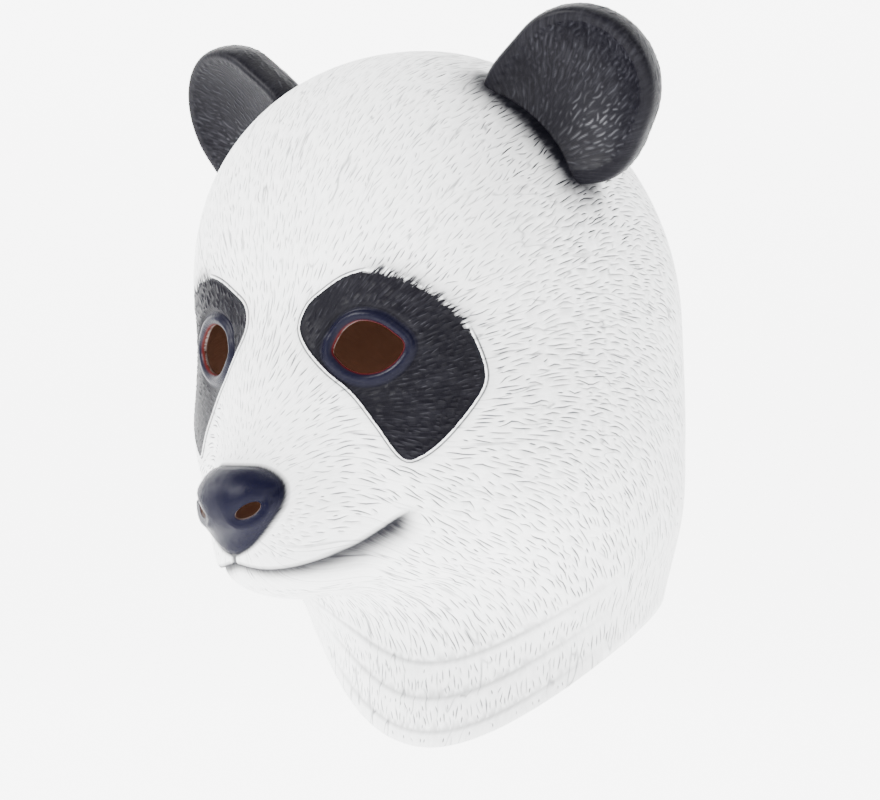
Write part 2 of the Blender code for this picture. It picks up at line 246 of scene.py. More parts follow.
earShape = {
    "radius": 0.038, "body": 0.030, "across": 0.112, "forward": 0.033, "drop": 0.0270,
    "lean": 40.0, "splay": 12.0, "nod": 20.0, "roundTo": 80.0, "root": 1.40, "outerTrim": 0.20,
    "rootRound": 0.35, "flare": (3.2, 0.0, 10.0),
    # across and deep, over the cup, the rolled rim and the back
    "profile": ((0, 10.4), (8, 10.2), (16, 9.0), (22.5, 6.6), (27.5, 3.9), (30.4, 2.0), (32.4, 0.9),
                (34.6, 0.3), (36.6, 1.2), (37.8, 4.0), (38.0, 9.0), (37.0, 14.5), (33.4, 21.0),
                (21, 27.9), (0, 30.0)),
}


def smoothLoop(chart, count, closed=True):  # a curve through the given points, evenly spaced, in metres
    points = np.array(chart) / 1000
    if closed:
        points = np.vstack((points[-1:], points, points[:2]))
    else:
        points = np.vstack((2 * points[0] - points[1], points, 2 * points[-1] - points[-2]))
    before, start, finish, after = points[:-3], points[1:-2], points[2:-1], points[3:]
    share = (np.arange(24) / 24)[:, None, None]
    curve = 2 * start + (finish - before) * share
    curve = curve + (2 * before - 5 * start + 4 * finish - after) * share**2
    curve = 0.5 * (curve + (3 * start - before - 3 * finish + after) * share**3)
    curve = np.vstack((curve.transpose(1, 0, 2).reshape(-1, 2), points[-2]))
    along = np.concatenate(([0], np.cumsum(np.linalg.norm(np.diff(curve, axis=0), axis=1))))
    stops = np.linspace(0, along[-1], count + closed)[:count]
    return np.stack([np.interp(stops, along, curve[:, axis]) for axis in range(2)], axis=-1)


def widenLoop(loop, outBy, closed=True):
    if closed:
        along = np.roll(loop, -1, axis=0) - np.roll(loop, 1, axis=0)
    else:
        along = np.gradient(loop, axis=0)
    along = along / np.linalg.norm(along, axis=1, keepdims=True)
    return loop + np.stack((-along[:, 1], along[:, 0]), axis=-1) * outBy


def loopGap(points, loop, closed=True):  # distance to a chart's line, below nought inside a clockwise loop
    starts = loop if closed else loop[:-1]
    runs = (np.roll(loop, -1, axis=0) if closed else loop[1:]) - starts
    gap = np.full(len(points), 1.0)
    inside = np.zeros(len(points), bool)
    for start, run in zip(starts, runs):
        offset = points - start
        share = np.clip(offset @ run / (run @ run), 0, 1)
        gap = np.minimum(gap, np.linalg.norm(offset - share[:, None] * run, axis=1))
        end = start + run
        crosses = (start[1] > points[:, 1]) != (end[1] > points[:, 1])
        if run[1] != 0:
            inside ^= crosses & (points[:, 0] < start[0] + run[0] * (points[:, 1] - start[1]) / run[1])
    return np.where(inside, -gap, gap) if closed else gap


def chartFrame(across, drop, tilt):  # a chart laid on the face: its middle, and its across, up and out
    start = np.array((across, 0.0, lift - drop))
    middle = castOut(start[None], np.array(((0.0, -1.0, 0.0),)))[0]
    out = outwardOf(middle[None])[0]
    side = unit(np.cross((0, 0, 1.0), out))
    turned = Matrix.Rotation(math.radians(tilt), 3, Vector(out))
    axes = [np.array(turned @ Vector(axis)) for axis in (side, np.cross(out, side))]
    return middle, axes[0], axes[1], out


def onChart(chart, places):  # a chart's points, cast out onto the skin
    middle, side, up, out = chart
    starts = middle + places[:, :1] * side + places[:, 1:] * up - 0.03 * out
    return castOut(starts, np.broadcast_to(out, starts.shape), 0.16)


def chartPlace(chart, points):
    offset = points - chart[0]
    return np.stack((offset @ chart[1], offset @ chart[2]), axis=-1), offset @ chart[3]


eyeChart = chartFrame(eyeShape["across"], eyeShape["drop"], 0.0)
nostrilChart = chartFrame(noseShape["nostrilAcross"], noseShape["drop"], noseShape["nostrilTilt"])
frontAxes = (np.array((1.0, 0, 0)), np.array((0, 0, 1.0)), np.array((0, -1.0, 0)))
mouthChart = (np.array((0.0, -0.06, lift)),) + frontAxes
noseChart = (mouthChart[0] - (0, 0, noseShape["drop"]),) + frontAxes
eyeHole = smoothLoop(eyeShape["hole"], 56)
eyePatch = smoothLoop(eyeShape["patch"], 132)
halfNose = noseShape["outline"]
noseLoop = smoothLoop(halfNose + tuple((-x, z) for x, z in reversed(halfNose[1:-1])), 104)
nostrilTurns = -np.arange(28) / 28 * math.tau
nostrilRing = np.stack((np.cos(nostrilTurns), np.sin(nostrilTurns)), axis=-1)
nostrilHole = nostrilRing * noseShape["nostril"] / 2000
mouthHalf = smoothLoop([(x, -z) for x, z in mouthShape["line"]], 80, closed=False)
print("face charted")


def earAxes(side):  # an ear's middle, and its across, to its tip and out of its cup
    turn = Matrix.Rotation(math.radians(side * earShape["splay"]), 3, "Z")
    turn = turn @ Matrix.Rotation(math.radians(90 + earShape["nod"]), 3, "X")
    turn = np.array(turn @ Matrix.Rotation(math.radians(-side * earShape["lean"]), 3, "Z"))
    return np.array((side * earShape["across"], -earShape["forward"], lift - earShape["drop"])), turn


def earReach(turn):  # round over the tip, then straight down to a wider root, narrower on the outer side
    offTip = np.abs((turn - math.pi / 2 + math.pi) % math.tau - math.pi)
    past = np.maximum(offTip - math.radians(earShape["roundTo"]), 0)
    widest = np.arccos(1 / (earShape["root"] - earShape["outerTrim"] * (1 + np.cos(turn)) / 2))
    return 1 / np.cos(softMin(past, widest, earShape["rootRound"]))


def earPlace(points):  # places in the left ear's own axes, and how far out of its middle they count
    middle, axes = earAxes(1)
    place = (points - middle) @ axes
    return place, np.hypot(place[..., 0], place[..., 1]) / earReach(np.arctan2(place[..., 1], place[..., 0]))


def earGap(points):  # how far a point of the skin lies from the ear that grows out of it
    place, reach = earPlace(points)
    back = -place[:, 2] / earShape["body"]
    wide = np.interp(back, (0, 0.2, 0.45, 0.7, 0.93, 1.1), (0.92, 1, 0.98, 0.88, 0.55, 0.2))
    beyond = np.maximum(reach - earShape["radius"] * wide, 0)
    ahead = np.maximum(np.maximum(place[:, 2], -place[:, 2] - earShape["body"]), 0)
    return np.hypot(beyond, ahead)


# How far from each feature its distances are worked out, in metres, and what they are beyond it
reaches = {
    "eyeAcross": 0.075, "eyeDeep": 0.04, "eyeBack": -0.04,
    "noseBack": -0.085, "noseTop": -0.17, "noseLow": -0.30, "nostril": 0.03,
    "mouthBack": -0.05, "mouthAcross": 0.072, "mouthTop": -0.19, "mouthLow": -0.28,
}
farAway = 99.0


def featureGaps(points):  # distances to each feature of the face, in millimetres
    half = points.copy()
    half[:, 0] = np.abs(half[:, 0])
    across, back, height = half[:, 0], half[:, 1], half[:, 2] - lift
    gaps = {name: np.full(len(points), farAway)
            for name in ("hole", "patch", "nose", "nostril", "mouth", "philtrum")}
    gaps |= {name: np.zeros(len(points)) for name in ("feather", "eyeUp", "eyeAcross", "nostrilUp")}

    place, out = chartPlace(eyeChart, half)
    near = (np.abs(place).max(axis=1) < reaches["eyeAcross"]) & (np.abs(out) < reaches["eyeDeep"])
    near &= back < reaches["eyeBack"]
    place = place[near]
    gaps["hole"][near] = loopGap(place, eyeHole) * 1000
    gaps["patch"][near] = loopGap(place, eyePatch) * 1000
    gaps["eyeAcross"][near], gaps["eyeUp"][near] = place.T * 1000
    turn = np.degrees(np.arctan2(place[:, 1] + 0.006, place[:, 0] - 0.006))
    begun = smoothStep(-12, 12, turn - eyeShape["featherFrom"])
    gaps["feather"][near] = begun * smoothStep(-12, 12, eyeShape["featherTo"] - turn)

    near = (back < reaches["noseBack"]) & (height < reaches["noseTop"]) & (height > reaches["noseLow"])
    place = np.stack((across, height + noseShape["drop"]), axis=-1)
    gaps["nose"][near] = loopGap(place[near], noseLoop) * 1000
    place, out = chartPlace(nostrilChart, half)
    near &= np.abs(place).max(axis=1) < reaches["nostril"]
    gaps["nostril"][near] = loopGap(place[near], nostrilHole) * 1000
    gaps["nostrilUp"][near] = place[near, 1] * 1000
    gaps["nostrilAcross"] = place[:, 0] * 1000

    near = (back < reaches["mouthBack"]) & (across < reaches["mouthAcross"])
    near &= (height < reaches["mouthTop"]) & (height > reaches["mouthLow"])
    place = np.stack((across, height), axis=-1)
    gaps["mouth"][near] = loopGap(place[near], mouthHalf, closed=False) * 1000
    gaps["mouth"] *= np.where(height >= np.interp(across, mouthHalf[:, 0], mouthHalf[:, 1]), 1, -1)
    gaps["mouthAcross"] = across * 1000
    under = smoothStep(-248.5, -246.0, height * 1000) * smoothStep(-240.0, -242.0, height * 1000)
    gaps["philtrum"] = np.where(near & (under > 0), across * 1000 / np.maximum(under, 0.05), farAway)

    gaps["hem"] = (points[:, 2] - hemHeight(points)) * 1000
    bearing = np.degrees(np.arctan2(points[:, 0], heart[1] - points[:, 1])) - headSizes["hemTurn"]
    bearing = np.abs((bearing + 180) % 360 - 180)
    gaps["band"] = np.clip(2 - bearing / bandShape["reach"], 0, 1)
    gaps["ear"] = earGap(half) * 1000
    return gaps


def faceRelief(gaps):  # how far the modelled features stand out of the plain head, in millimetres
    hole, patch, nose, nostril, mouth = (gaps[name] for name in ("hole", "patch", "nose", "nostril", "mouth"))
    upper = smoothStep(-4, 4, gaps["eyeUp"])
    roll = np.clip(hole / eyeShape["lidWidth"], 0, 1)
    rise = eyeShape["lidRise"] * np.sin(math.pi * roll) ** 0.8 * (hole < eyeShape["lidWidth"])
    rise += swell(hole, eyeShape["crease"]) * (0.45 + 0.55 * upper) + swell(hole, eyeShape["brow"]) * upper
    ductAcross, ductUp = eyeShape["ductPlace"]
    rise += swell(np.hypot(gaps["eyeAcross"] - ductAcross, gaps["eyeUp"] - ductUp), eyeShape["duct"])
    rise += (1 - gaps["feather"]) * (swell(patch, eyeShape["welt"]) + swell(patch, eyeShape["weltGroove"]))
    rise += noseShape["rise"] * smoothStep(0.2, -2.2, nose) + swell(nose, noseShape["seam"])
    rise += swell(np.maximum(nostril, 0), noseShape["dip"])
    rise += swell(nostril, noseShape["wing"]) * smoothStep(0, -2, gaps["nostrilUp"])
    trail = swell(gaps["nostrilUp"], noseShape["trail"]) * smoothStep(5, 8, gaps["nostrilAcross"])
    rise += trail * (nose < 0)

    depth = mouthShape["depth"]
    fade = np.clip((1.06 - gaps["mouthAcross"] / mouthShape["half"]) / 0.25, 0, 1) * (np.abs(mouth) < 40)
    below = -depth * np.exp(np.minimum(mouth + 0.5, 0) / mouthShape["hollow"])
    wall = -depth + (depth + 0.2) * np.clip((mouth + 0.5) / 0.9, 0, 1)
    above = swell(mouth, mouthShape["lip"])
    rise += fade * np.where(mouth < -0.5, below, np.where(mouth < 0.4, wall, above))
    rise += swell(gaps["philtrum"], mouthShape["philtrum"])
    rise += np.interp(gaps["hem"], bandShape["heights"], bandShape["rises"]) * gaps["band"]
    return rise + swell(gaps["ear"], earShape["flare"])


# The dark airbrush and painted shade beside a line: how dark, how far out of the line in millimetres, and its
# half width
# painted shade in the welt groove, at the nose edge, in the philtrum and lip crease, under the upper lip and
# at the neck band folds; airbrushed paint round the patch and the ear root
airbrushAndShade = {
    "welt": (0.7, 1.15, 0.35), "nose": (0.75, 0.0, 1.0), "lip": (0.95, 0.1, 1.0), "philtrum": (0.9, 0.0, 0.9),
    "band": (0.20, 1.5, 0.7), "mouth": (0.62, 0.24), "mouthSpread": (2.6, 3.0, 0.9), "ear": (0.9, 7.5, 1.3),
    "patch": (0.10, 0.30, 3.5),
}


def facePaint(gaps):  # black paint, dark airbrush and painted shade, gloss, and the raw cut edge tinted red as a painted reflection of skin, each from nought to one
    patch, nose, mouth, feather = (gaps[name] for name in ("patch", "nose", "mouth", "feather"))
    crisp = smoothStep(0.12, -0.12, patch)
    paint = crisp + (smoothStep(4.6, -3.2, patch) - crisp) * feather
    paint = np.max((paint, smoothStep(0.35, 0.0, nose), smoothStep(3.0, 0.0, gaps["ear"])), axis=0)
    gloss = np.maximum(smoothStep(0.3, -0.5, nose), 0.75 * smoothStep(6.4, 5.4, gaps["hole"]))
    # the raw cut edge of the eye holes, tinted red as a painted reflection of skin
    reflectedRed = smoothStep(0.9, 0.1, gaps["hole"])

    share = gaps["mouthAcross"] / mouthShape["half"]
    ends = smoothStep(1.12, 0.92, share)
    share = np.clip(share, 0, 1.2)
    (mouthDark, cornerDark), (thin, wider, above) = airbrushAndShade["mouth"], airbrushAndShade["mouthSpread"]
    spread = np.where(mouth < 0, thin + wider * share**2, above)
    patchDark, featherDark, patchSpread = airbrushAndShade["patch"]
    earDark, earSpread, earPower = airbrushAndShade["ear"]
    around = (patchDark + featherDark * feather) * np.exp(-np.maximum(patch, 0) / patchSpread)
    # the darkening: painted shade in grooves, creases, under the upper lip and at the band folds, and
    # airbrushed paint round the patch and the ear root
    dark = [
        swell(patch, airbrushAndShade["welt"]) * (1 - feather), around * (patch > 1.6 * (1 - feather)),
        swell(np.maximum(nose, 0), airbrushAndShade["nose"]), swell(gaps["philtrum"], airbrushAndShade["philtrum"]),
        swell(mouth, airbrushAndShade["lip"]) * ends,
        ends * (mouthDark + cornerDark * share) * np.exp(-(mouth / spread) ** 2),
        earDark * np.exp(-(gaps["ear"] / earSpread) ** earPower),
    ]
    dark += [swell(gaps["hem"] - top, airbrushAndShade["band"]) * gaps["band"] for top in bandShape["heights"][1::2]]
    return paint, np.max(dark, axis=0), gloss, reflectedRed


# Room on a surface, kept in small cells, so that strokes stay clear of each other
def emptyRoom(low, high, cell=0.0008):
    low = np.array(low)
    size = np.ceil((np.array(high) - low) / cell).astype(int) + 12
    return {"low": low - 6 * cell, "cell": cell, "size": size, "taken": np.zeros(int(np.prod(size)), bool)}


def cellsOf(room, points):
    cells = ((points - room["low"]) / room["cell"]).astype(int)
    cells = np.clip(cells, 6, room["size"] - 7)
    return (cells[..., 0] * room["size"][1] + cells[..., 1]) * room["size"][2] + cells[..., 2]


balls = {}


def ballOf(room, radius):  # the cells within a radius of one
    key = (round(radius / room["cell"] * 2), tuple(room["size"]))
    if key not in balls:
        reach = min(6, max(1, key[0] / 2))
        span = np.arange(-6, 7)
        x, y, z = (axis.ravel() for axis in np.meshgrid(span, span, span, indexing="ij"))
        kept = x * x + y * y + z * z <= reach * reach
        balls[key] = ((x * room["size"][1] + y) * room["size"][2] + z)[kept]
    return balls[key]


def takeRoom(room, points, radius):
    cells = cellsOf(room, points).reshape(-1)
    room["taken"][(cells[:, None] + ballOf(room, radius)).ravel()] = True


def drawStrokes(start, length, heading, advance, steps=8, swing=0.20):
    state, path = start, [start]
    phase = dice.uniform(0, math.tau, len(start))
    wave = dice.uniform(0.009, 0.018, len(start))
    bend = dice.normal(0, swing, len(start))
    lean = dice.normal(0, 0.08, len(start))
    for step in range(steps):
        outward, along = heading(state)
        angle = lean + bend * np.sin(phase + math.tau * step * length / steps / wave)
        across = np.cross(outward, along)
        move = along * np.cos(angle)[:, None] + across * np.sin(angle)[:, None]
        state = advance(state, move * (length / steps)[:, None])
        path.append(state)
    return np.stack(path, axis=1)


def pickStrokes(room, places, allowed, spacing, fewest=4):  # the strokes that find room, in turn
    cells = cellsOf(room, places)
    picked = []
    for number in range(len(places)):
        free = allowed[number] & ~room["taken"][cells[number]]
        count = len(free) if free.all() else int(np.argmin(free))
        if count >= fewest:
            picked.append((number, count))
            ball = ballOf(room, spacing[number])
            room["taken"][(cells[number][:count, None] + ball).ravel()] = True
    return picked


def scatter(room, places, spacing):  # plain points between the strokes
    cells = cellsOf(room, places)
    kept = []
    for number in range(len(places)):
        if not room["taken"][cells[number]]:
            kept.append(number)
            room["taken"][cells[number] + ballOf(room, spacing[number])] = True
    return np.array(kept, dtype=int)


# A sheet gathers the points of a surface with what each one carries, and the edges that must be kept
def newSheet():
    return {"state": [], "cut": [], "line": [], "dark": [], "edges": [], "count": 0}


def lay(sheet, state, cut=0.0, line=0.0, dark=0.0, closed=None):
    count = len(state)
    first = sheet["count"]
    sheet["state"].append(state)
    for name, value in (("cut", cut), ("line", line), ("dark", dark)):
        sheet[name].append(np.broadcast_to(value, (count,)).astype(float))
    numbers = np.arange(first, first + count)
    if closed is not None:
        sheet["edges"] += list(zip(numbers[:-1].tolist(), numbers[1:].tolist()))
    if closed:
        sheet["edges"].append((int(numbers[-1]), first))
    sheet["count"] += count
    return numbers


def layStrokes(sheet, paths, picked, lengths, strokes, heading, advance):
    # a stroke is a centre line cut into the surface, between two sides, closed by its tips
    byCount = {}
    for number, count in picked:
        interior = round(lengths[number] * 1000 * count / 9 / furSizes["step"])
        byCount.setdefault((count, int(np.clip(interior, 2, 6))), []).append(number)
    for (count, interior), numbers in byCount.items():
        numbers = np.array(numbers)
        stops = np.linspace(0, count - 1, interior + 2)
        low = np.minimum(stops.astype(int), count - 2)
        share = (stops - low)[None, :, None]
        middle = paths[numbers][:, low] * (1 - share) + paths[numbers][:, low + 1] * share
        flat = middle.reshape(-1, middle.shape[-1])
        across = np.cross(*heading(flat))
        taper = np.sin(np.linspace(0, math.pi, interior + 2)[1:-1]) ** 0.6
        width = np.zeros((len(numbers), interior + 2))
        width[:, 1:-1] = strokes["width"][numbers][:, None] * taper
        width[:, 1:-1] *= dice.uniform(0.8, 1.2, (len(numbers), interior))
        moves = across * width.reshape(-1, 1)
        sides = [advance(flat, turn * moves).reshape(middle.shape) for turn in (1, -1)]
        for row, number in enumerate(numbers):
            carried = [strokes[name][number] * taper for name in ("depth", "line", "dark")]
            tips = lay(sheet, middle[row, [0, -1]])
            chains = [lay(sheet, middle[row, 1:-1], *carried, closed=False)]
            chains += [lay(sheet, side[row, 1:-1], closed=False) for side in sides]
            for chain in chains:
                sheet["edges"] += [(int(tips[0]), int(chain[0])), (int(chain[-1]), int(tips[1]))]


def gather(sheet):
    for name in ("state", "cut", "line", "dark"):
        sheet[name] = np.concatenate(sheet[name])
    return sheet


def weave(sheet, loops):  # triangles between all points; the first loop bounds them, others are holes
    points = [Vector(point) for point in flatPlaces(sheet["state"]).tolist()]
    found = delaunay_2d_cdt(points, sheet["edges"], [loop.tolist() for loop in loops], 0, 1e-9, True)
    origin = np.array([first[0] if first else -1 for first in found[3]])
    extra = np.nonzero(origin < 0)[0]
    if len(extra):
        added = skinPlaces(np.array([found[0][number][:] for number in extra]))
        origin[extra] = np.arange(len(added)) + len(sheet["state"])
        sheet["state"] = np.concatenate((sheet["state"], added))
        for name in ("cut", "line", "dark"):
            sheet[name] = np.append(sheet[name], np.zeros(len(added)))
    kept = [face for face, owners in zip(found[2], found[5]) if 0 in owners and len(owners) == 1]
    print("  woven", len(kept), "triangles,", len(extra), "crossings")
    return origin[np.array(kept)]


# The combed fur: how close, long, deep and dark the strokes are in each part of the skin
furLooks = {  # millimetres apart, shortest and longest, half wide, deep, and the least and most wash in them
    "side": (1.15, 9.5, 20.0, 0.46, 0.55, 0.35, 1.00),
    "forehead": (1.20, 6.0, 12.0, 0.42, 0.40, 0.15, 0.60),
    "muzzle": (1.15, 4.0, 8.0, 0.38, 0.36, 0.15, 0.60),
    "back": (2.20, 10.0, 20.0, 0.55, 0.50, 0.30, 0.90),
    "neck": (1.20, 9.0, 18.0, 0.44, 0.52, 0.30, 0.95),
    "band": (1.20, 6.0, 12.0, 0.42, 0.48, 0.30, 0.90),
    "patch": (1.10, 4.5, 9.0, 0.34, -0.36, 0.10, 1.00),
}
furSizes = {"throws": 90000, "clear": 0.95, "fill": 4.4, "step": 3.6, "fall": 0.80, "climb": 0.35}


def furShares(points, gaps):
    x, y, z = points[:, 0], points[:, 1], points[:, 2] - lift
    shares = {"side": np.ones(len(points))}
    shares["forehead"] = smoothStep(-0.02, -0.08, y) * smoothStep(-0.16, -0.12, z)
    shares["back"] = smoothStep(0.03, 0.09, y)
    shares["neck"] = smoothStep(-0.245, -0.275, z)
    shares["muzzle"] = smoothStep(-0.112, -0.135, y) * smoothStep(-0.15, -0.18, z)
    shares["band"] = smoothStep(44, 41, gaps["hem"]) * smoothStep(0.2, 0.5, gaps["band"])
    shares["patch"] = (gaps["patch"] < 0).astype(float)
    return shares


def furLook(points, gaps):
    look = np.zeros((len(points), 7))
    for name, share in furShares(points, gaps).items():
        look += (np.array(furLooks[name]) - look) * share[:, None]
    return look


def furHeading(points):  # out of the skin, and along the fur
    outward = outwardOf(points)
    along = combDirection(points, outward)
    away = alongSkin(points - (0, combing["noseBack"] - 0.03, lift - combing["noseDrop"]), outward)
    low = smoothStep(48, 40, (points[..., 2] - hemHeight(points)) * 1000)[..., None]
    near = smoothStep(0.095, 0.05, np.linalg.norm(points - (0, -0.18, lift - 0.215), axis=-1))[..., None]
    down = -outward[..., 2:] * outward
    down[..., 2] += 1
    side = smoothStep(0.03, 0.07, np.abs(points[..., 0])) * smoothStep(0.10, 0.04, points[..., 1])
    height = points[..., 2] - lift
    sink = furSizes["fall"] * smoothStep(-0.15, -0.25, height)
    sink -= furSizes["climb"] * smoothStep(-0.14, -0.09, height)
    along = along - down * (side * sink * smoothStep(-0.02, -0.06, height))[..., None]
    along = along * (1 - near) + away * near
    return outward, alongSkin(along * (1 - low) - down * low, outward)


def headAdvance(points, moves):
    return ontoHead(points + moves, rounds=1)


def flatPlaces(points):  # the skin laid flat, seen from the middle of the head, opening at the neck
    away = points - heart
    return away[..., :2] / (np.linalg.norm(away, axis=-1) + away[..., 2])[..., None]


def skinPlaces(flat):
    square = (flat**2).sum(-1)
    height = (1 - square) / (1 + square)
    reach = 2 / (1 + square)
    return castOut(heart[None], np.column_stack((flat * reach[:, None], height)))


def aroundNeck(above, bearings):  # points of the neck at a height above the hem
    out = np.column_stack((np.sin(bearings), -np.cos(bearings), 0 * bearings))
    starts = np.tile(heart, (len(bearings), 1))
    starts[:, 2] = hemHeight(starts + out) + above
    return castOut(starts, out, 0.3)


def bothSides(points):  # a left-hand line and its mirror, turned the same way round
    return points, (points * (-1, 1, 1))[::-1]


def layRuns(sheet, points, kept, closed=True):  # the kept stretches of a line
    if kept.all():
        lay(sheet, points, closed=closed)
        return
    start = int(np.argmin(kept)) if closed else 0
    points, kept = np.roll(points, -start, axis=0), np.roll(kept, -start)
    runs = np.split(np.arange(len(kept)), np.nonzero(np.diff(kept.astype(int)))[0] + 1)
    for run in runs:
        if kept[run[0]] and len(run) > 2:
            lay(sheet, points[run], closed=False)


# How far out of each feature lines are laid, in millimetres, and how much room they keep, in metres
featureLines = {
    "hole": (0.8, 1.7, 2.7, 3.8, 4.8, 5.8, 6.8, 8.2),
    "nostril": (0.8, 1.8, 3.0, 4.2),
    "patch": (-1.2, -0.15, 0.1, 0.4, 0.75, 1.2, 1.7, 2.6),
    "nose": (-2.2, -1.1, -0.2, 0.25, 0.9, 1.8),
    "mouth": (5.0, 2.6, 1.2, 0.4, -0.5, -1.3, -2.6, -4.2, -6.0, -8.4),
    "philtrum": (-1.6, -0.6, 0.6, 1.6), "philtrumTop": -0.2422, "philtrumLow": -0.2452, "room": 0.0011,
}


def layFeatures(sheet, clear):  # the lines of the face, laid on the sheet before the fur
    drawn = [aroundNeck(0.0, np.linspace(0, math.tau, 300, endpoint=False))]
    loops = [lay(sheet, drawn[0], closed=True)]
    turns = math.radians(headSizes["hemTurn"]) + np.radians(np.linspace(-70, 70, 150))
    for above in (0.8,) + bandShape["heights"][1:]:
        drawn.append(aroundNeck(above / 1000, turns))
        lay(sheet, drawn[-1], closed=False)
    for chart, hole in ((eyeChart, eyeHole), (nostrilChart, nostrilHole)):
        loops += [lay(sheet, points, closed=True) for points in bothSides(onChart(chart, hole)[::-1])]

    def rings(name, chart, loop):
        for outBy in featureLines[name]:
            yield from bothSides(onChart(chart, widenLoop(loop, outBy / 1000)))

    for points in rings("hole", eyeChart, eyeHole):
        lay(sheet, points, closed=True)
        drawn.append(points)
    for points in rings("nostril", nostrilChart, nostrilHole):
        layRuns(sheet, points, featureGaps(points)["nose"] < -1.2)
        drawn.append(points)
    for points in rings("patch", eyeChart, eyePatch):
        kept = featureGaps(points)["feather"] < 0.5
        layRuns(sheet, points, kept)
        drawn.append(points[kept])
    for outBy in featureLines["nose"]:
        points = onChart(noseChart, widenLoop(noseLoop, outBy / 1000))
        layRuns(sheet, points, featureGaps(points)["philtrum"] > 2.2)
        drawn.append(points)
    for outBy in featureLines["mouth"]:
        half = widenLoop(mouthHalf[1:-8], outBy / 1000, closed=False)
        half = half[half[:, 0] > 0.0004]
        points = onChart(mouthChart, np.vstack((half[::-1] * (-1, 1), half)))
        kept = (featureGaps(points)["philtrum"] > 2.2) | (outBy < 0.3)
        layRuns(sheet, points, kept, closed=False)
        drawn.append(points)
    heights = np.linspace(featureLines["philtrumTop"], featureLines["philtrumLow"], 4)
    for across in featureLines["philtrum"]:
        points = onChart(mouthChart, np.column_stack((np.full(4, across / 1000), heights)))
        lay(sheet, points, closed=False)
        drawn.append(points)
    for line in drawn:
        takeRoom(clear, line, featureLines["room"])
    return loops


def strokeGround(gaps):  # where a stroke may be drawn
    clear = (gaps["hem"] > 1.6) & (gaps["hole"] > 7.4) & (gaps["nose"] > 2.4) & (gaps["philtrum"] > 3)
    clear &= (np.abs(gaps["patch"] - 0.9) > 2.3) | (gaps["feather"] > 0.5)
    clear &= (gaps["mouth"] > 5.6) | (gaps["mouth"] < -9.0) | (gaps["mouthAcross"] > 66)
    clear &= gaps["ear"] > 1.5
    for edge in bandShape["heights"][1:]:
        clear &= (gaps["band"] <= 0.02) | (np.abs(gaps["hem"] - edge) > 0.9)
    return clear


def throwOnSkin(count):  # random places, closer together where the fur is finer
    tilts = np.radians(np.linspace(0.5, 168, 120))
    turns = np.radians(np.linspace(0, 360, 161))
    tilt, turn = np.meshgrid(tilts, turns, indexing="ij")
    ways = np.stack((np.sin(tilt) * np.sin(turn), -np.sin(tilt) * np.cos(turn), np.cos(tilt)), axis=-1)
    net = castOut(heart, ways.reshape(-1, 3)).reshape(ways.shape)
    area = np.linalg.norm(np.cross(net[:-1, 1:] - net[:-1, :-1], net[1:, :-1] - net[:-1, :-1]), axis=-1)
    centres = ((net[:-1, :-1] + net[1:, 1:]) / 2).reshape(-1, 3)
    apart, shortest, longest = furLook(centres, featureGaps(centres)).T[:3]
    weight = area.reshape(-1) / (apart * (shortest + longest)) * (centres[:, 2] > hemHeight(centres) - 0.004)
    cells = dice.choice(len(weight), count, p=weight / weight.sum())
    places = between(net, *np.divmod(cells, area.shape[1]), *dice.random((2, count, 1)))
    return ontoHead(places, 2)


def combFur(sheet, room, clear):
    seeds = throwOnSkin(furSizes["throws"])
    count = len(seeds)
    gaps = featureGaps(seeds)
    apart, shortest, longest, halfWide, deep, leastWash, mostWash = furLook(seeds, gaps).T
    lengths = (shortest + (longest - shortest) * dice.random(count) ** 1.3) / 1000
    paths = drawStrokes(seeds, lengths, furHeading, headAdvance)
    allowed = strokeGround(featureGaps(paths.reshape(-1, 3))).reshape(paths.shape[:2])
    picked = []
    for fewest in (7, 4):  # long strokes first, then short ones between them
        picked += pickStrokes(room, paths, allowed, apart / 1000, fewest)
    byEar = 0.95 * np.exp(-(gaps["ear"] / 17) ** 2)
    dark = (dice.random(count) < byEar) * dice.uniform(0.4, 1.0, count)
    depth = deep * dice.uniform(0.6, 1.25, count)
    wash = leastWash + (mostWash - leastWash) * dice.random(count)
    wash = np.clip(wash + 0.45 * np.exp(-(gaps["patch"] / 9) ** 2) * (gaps["patch"] > 0), 0, 1)
    strokes = {"width": halfWide / 1000, "depth": depth, "line": wash, "dark": dark}
    layStrokes(sheet, paths, picked, lengths, strokes, furHeading, headAdvance)
    for number, count in picked:
        takeRoom(clear, paths[number, :count], furSizes["clear"] / 1000)
    print("  combed", len(picked), "strokes")


def layFill(sheet, clear):  # plain points in the gaps, closer together near the features
    seeds = throwOnSkin(furSizes["throws"])
    gaps = featureGaps(seeds)
    near = [np.abs(gaps[name]) for name in ("hole", "patch", "nose", "mouth", "philtrum", "nostril")]
    spacing = np.interp(np.min(near, axis=0), (0, 6, 14), (1.4, 2.0, furSizes["fill"])) / 1000
    inside = (gaps["hem"] > 1) & (gaps["hole"] > 0.5) & (gaps["nostril"] > 0.5)
    kept = scatter(clear, seeds[inside], spacing[inside])
    lay(sheet, seeds[inside][kept])
    print("  filled with", len(kept), "points")


def addObject(name, data):
    made = bpy.data.objects.new(name, data)
    bpy.context.collection.objects.link(made)
    return made


